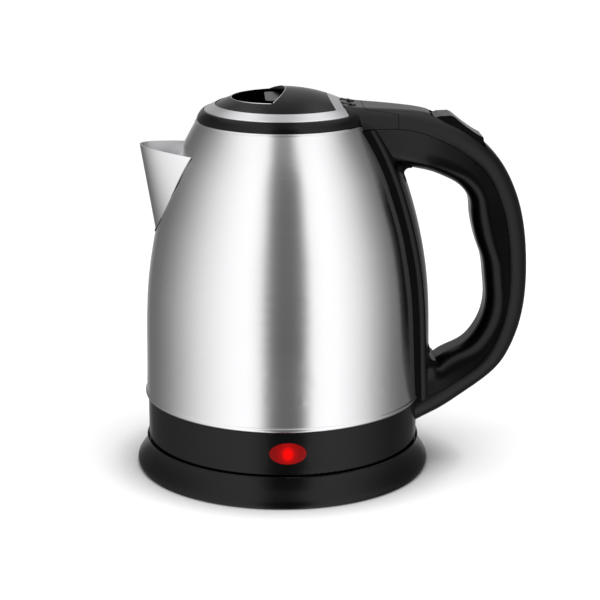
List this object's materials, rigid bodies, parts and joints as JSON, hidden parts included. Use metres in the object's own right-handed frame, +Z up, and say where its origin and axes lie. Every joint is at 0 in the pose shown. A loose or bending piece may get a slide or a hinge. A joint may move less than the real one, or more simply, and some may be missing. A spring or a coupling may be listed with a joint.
{
  "type": "electric kettle",
  "caption": "Cordless jug kettle with steel body, V spout, hinged lid, black loop handle with rocker switch, and a round power base.",
  "frame": {"origin": "on the jug's upright axis, at the plane that the rubber feet stand on", "axes": "+Z up, +X towards the handle, the spout points to -X, and the indicator lens faces -Y"},
  "size_m": [0.2119, 0.1599, 0.2066],
  "materials": {
    "steel": "vertical brushed satin stainless steel",
    "steel_inner": "plain rolled stainless steel",
    "trim_silver": "satin silver lacquer on plastic",
    "black_satin": "black polypropylene, semi-gloss",
    "black_base": "black polypropylene, fine satin",
    "black_inner": "black moulded nylon",
    "white_nylon": "natural heat-proof nylon",
    "lens_red": "translucent red, lit from behind",
    "lamp_glass": "neon lamp glass",
    "brass": "stamped brass",
    "screw_steel": "zinc-plated screw steel",
    "spring_steel": "spring steel",
    "rubber": "moulded rubber",
    "silicone": "grey silicone",
    "aluminium": "heat-spreader aluminium",
    "lead_blue": "heat-proof sleeving over two wires"
  },
  "bodies": {
    "power_base": {"base_shell": "black_base", "base_plate": "black_inner", "rubber_feet": "rubber", "base_screws": "screw_steel", "base_socket": "black_inner", "socket_contacts": "brass", "cord_clamp": "white_nylon", "clamp_screws": "screw_steel"},
    "connector": {"connector_plug": "black_inner", "connector_rings": "brass"},
    "jug": {"steel_body": "steel", "spout": "steel", "heating_plate": "steel_inner", "heating_element": "aluminium", "element_terminals": "screw_steel", "control_body": "black_inner", "control_bimetals": "brass", "jug_skirt": "black_base", "jug_base_cover": "black_inner", "cover_screws": "screw_steel", "indicator_lens": "lens_red", "indicator_lamp": "lamp_glass", "collar": "black_satin", "handle_body": "black_satin", "handle_cover": "black_satin", "handle_screws": "screw_steel", "switch_frame": "white_nylon", "switch_pivot": "screw_steel", "lever_pivot": "screw_steel", "switch_contacts": "brass", "steam_bimetal": "brass", "switch_leads": "lead_blue", "hinge_pin": "screw_steel"},
    "lid": {"lid_cover": "black_satin", "lid_trim": "trim_silver", "lid_inner": "black_inner", "lid_seal": "silicone", "lid_plate": "steel_inner", "lid_screws": "screw_steel", "latch_spring": "spring_steel"},
    "latch": {"lid_latch": "black_satin"},
    "rocker": {"switch_rocker": "black_satin"},
    "lever": {"trip_lever": "white_nylon"}
  },
  "joints": [
    {"name": "jug_lift", "type": "slide", "parent": "power_base", "child": "connector", "axis": [0, 0, 1], "range_m": [0, 0.06]},
    {"name": "jug_turn", "type": "hinge", "parent": "connector", "child": "jug", "pos_m": [0, 0, 0], "axis": [0, 0, 1], "continuous": true},
    {"name": "lid_hinge", "type": "hinge", "parent": "jug", "child": "lid", "pos_m": [0.035, 0, 0.197], "axis": [0, 1, 0], "range_deg": [0, 85]},
    {"name": "latch_slide", "type": "slide", "parent": "lid", "child": "latch", "axis": [1, 0, 0], "range_m": [0, 0.003], "stiffness_N_per_m": 600, "springref_m": -0.004, "deforming": ["latch_spring"]},
    {"name": "switch_rock", "type": "hinge", "parent": "jug", "child": "rocker", "pos_m": [0.093, 0, 0.1785], "axis": [0, -1, 0], "range_deg": [0, 7]},
    {"name": "lever_trip", "type": "hinge", "parent": "jug", "child": "lever", "pos_m": [0.0826, 0, 0.17], "axis": [0, -1, 0], "range_deg": [-5.61, 0]}
  ],
  "couplings": [
    {"joint": "lever_trip", "follows": "switch_rock", "ratio": -0.8}
  ]
}
